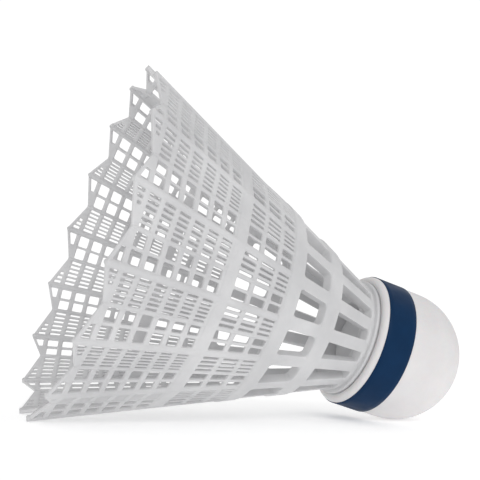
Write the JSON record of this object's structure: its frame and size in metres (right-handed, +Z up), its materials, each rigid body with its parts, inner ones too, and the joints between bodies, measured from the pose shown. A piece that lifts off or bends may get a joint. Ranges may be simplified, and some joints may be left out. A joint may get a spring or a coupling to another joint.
{
  "type": "badminton shuttlecock",
  "caption": "Badminton shuttlecock with a pleated lattice skirt moulded in nylon, open stems and rings, and a domed cork head under a white skin with a coloured band.",
  "frame": {"origin": "on the surface the shuttlecock lies on, under the centre of its box; it lies on its side on two neighbouring petal tips and its head", "axes": "+X level, from the skirt's mouth to the head's nose, with the shuttlecock's own axis dipping about 16 degrees below it; +Z up; +Y to the left when facing +X"},
  "size_m": [0.086, 0.0658, 0.0632],
  "materials": {
    "skirt_nylon": "satin moulded nylon, slightly translucent white",
    "cork": "compressed cork granules",
    "cover_skin": "smooth white synthetic leather",
    "band_tape": "dark blue satin tape",
    "weight_steel": "zinc plated"
  },
  "bodies": {
    "root": {"skirt": "skirt_nylon", "cork_core": "cork", "head_cover": "cover_skin", "colour_band": "band_tape", "speed_weight": "weight_steel"}
  },
  "joints": []
}
